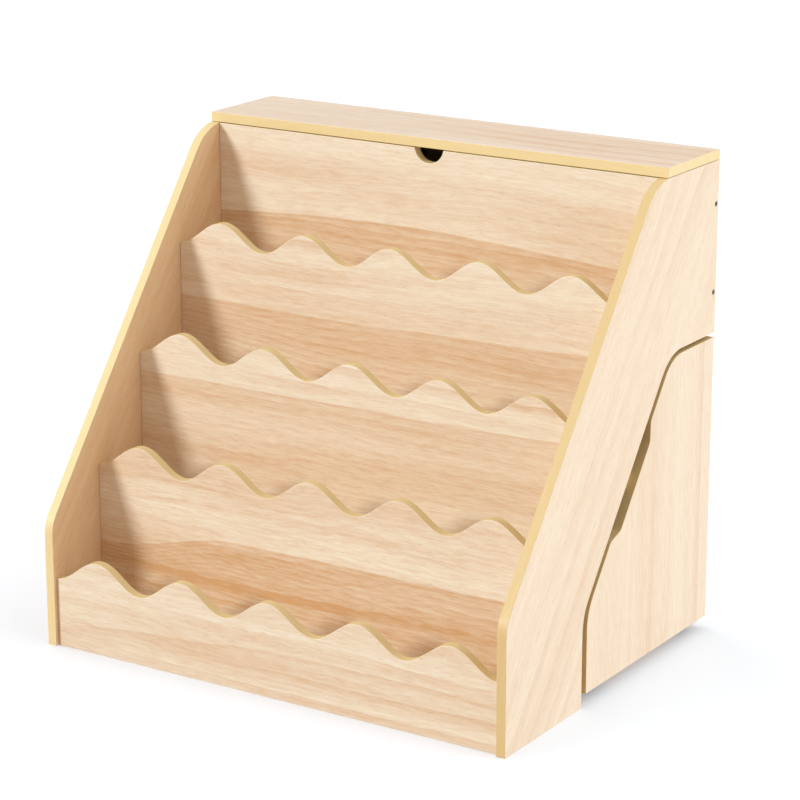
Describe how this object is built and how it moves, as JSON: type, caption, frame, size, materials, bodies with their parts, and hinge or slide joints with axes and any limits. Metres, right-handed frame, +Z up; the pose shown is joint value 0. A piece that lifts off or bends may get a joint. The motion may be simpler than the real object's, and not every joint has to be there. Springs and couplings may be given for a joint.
{
  "type": "book display stand",
  "caption": "Stepped picture-book display stand with wavy tier rails, a lidded compartment behind the backrest and a nested rolling cart that pulls out sideways.",
  "frame": {"origin": "on the floor under the centre of the whole stand's bounding box", "axes": "+X to the right along the shelves, +Y to the rear, +Z up; the tiers face -Y"},
  "size_m": [0.8, 0.6062, 0.744],
  "materials": {
    "laminate": "satin pale beech or oak print laminate with cream edge banding",
    "steel": "zinc plated",
    "dark_steel": "dark confirmat screws",
    "wheel_plastic": "moulded nylon"
  },
  "bodies": {
    "stand": {"side_panel_left": "laminate", "side_panel_right": "laminate", "rail_1": "laminate", "rail_2": "laminate", "rail_3": "laminate", "rail_4": "laminate", "shelf_1": "laminate", "shelf_2": "laminate", "shelf_3": "laminate", "shelf_4": "laminate", "compartment_base": "laminate", "backrest_panel": "laminate", "rear_panel": "laminate", "screw_left_1": "dark_steel", "screw_left_2": "dark_steel", "screw_right_1": "dark_steel", "screw_right_2": "dark_steel", "hinge_left_body_leaf": "steel", "hinge_left_pin": "steel", "hinge_right_body_leaf": "steel", "hinge_right_pin": "steel"},
    "lid": {"lid": "laminate", "hinge_left_lid_leaf": "steel", "hinge_right_lid_leaf": "steel"},
    "cart": {"cart_end_right": "laminate", "cart_end_left": "laminate", "cart_back": "laminate", "cart_floor": "laminate", "cart_rail_low": "laminate", "cart_shelf": "laminate", "cart_rail_high": "laminate", "caster_front_left_plate": "steel", "caster_front_right_plate": "steel", "caster_rear_left_plate": "steel", "caster_rear_right_plate": "steel"},
    "caster_front_left_fork": {"caster_front_left_fork": "steel", "caster_front_left_axle": "steel"},
    "caster_front_left_wheel": {"caster_front_left_wheel": "wheel_plastic"},
    "caster_front_right_fork": {"caster_front_right_fork": "steel", "caster_front_right_axle": "steel"},
    "caster_front_right_wheel": {"caster_front_right_wheel": "wheel_plastic"},
    "caster_rear_left_fork": {"caster_rear_left_fork": "steel", "caster_rear_left_axle": "steel"},
    "caster_rear_left_wheel": {"caster_rear_left_wheel": "wheel_plastic"},
    "caster_rear_right_fork": {"caster_rear_right_fork": "steel", "caster_rear_right_axle": "steel"},
    "caster_rear_right_wheel": {"caster_rear_right_wheel": "wheel_plastic"}
  },
  "joints": [
    {"name": "lid_hinge", "type": "hinge", "parent": "stand", "child": "lid", "pos_m": [0, 0.3001, 0.72765], "axis": [-1, 0, 0], "range_deg": [0, 100]},
    {"name": "cart_slide", "type": "slide", "parent": "stand", "child": "cart", "axis": [1, 0, 0], "range_m": [0, 0.8]},
    {"name": "caster_front_left_swivel", "type": "hinge", "parent": "cart", "child": "caster_front_left_fork", "pos_m": [-0.3297, -0.0261, 0.0385], "axis": [0, 0, 1], "continuous": true},
    {"name": "caster_front_left_roll", "type": "hinge", "parent": "caster_front_left_fork", "child": "caster_front_left_wheel", "pos_m": [-0.3187, -0.0261, 0.015], "axis": [0, 1, 0], "continuous": true},
    {"name": "caster_front_right_swivel", "type": "hinge", "parent": "cart", "child": "caster_front_right_fork", "pos_m": [0.357, -0.0261, 0.0385], "axis": [0, 0, 1], "continuous": true},
    {"name": "caster_front_right_roll", "type": "hinge", "parent": "caster_front_right_fork", "child": "caster_front_right_wheel", "pos_m": [0.368, -0.0261, 0.015], "axis": [0, 1, 0], "continuous": true},
    {"name": "caster_rear_left_swivel", "type": "hinge", "parent": "cart", "child": "caster_rear_left_fork", "pos_m": [-0.3297, 0.2532, 0.0385], "axis": [0, 0, 1], "continuous": true},
    {"name": "caster_rear_left_roll", "type": "hinge", "parent": "caster_rear_left_fork", "child": "caster_rear_left_wheel", "pos_m": [-0.3187, 0.2532, 0.015], "axis": [0, 1, 0], "continuous": true},
    {"name": "caster_rear_right_swivel", "type": "hinge", "parent": "cart", "child": "caster_rear_right_fork", "pos_m": [0.357, 0.2532, 0.0385], "axis": [0, 0, 1], "continuous": true},
    {"name": "caster_rear_right_roll", "type": "hinge", "parent": "caster_rear_right_fork", "child": "caster_rear_right_wheel", "pos_m": [0.368, 0.2532, 0.015], "axis": [0, 1, 0], "continuous": true}
  ]
}
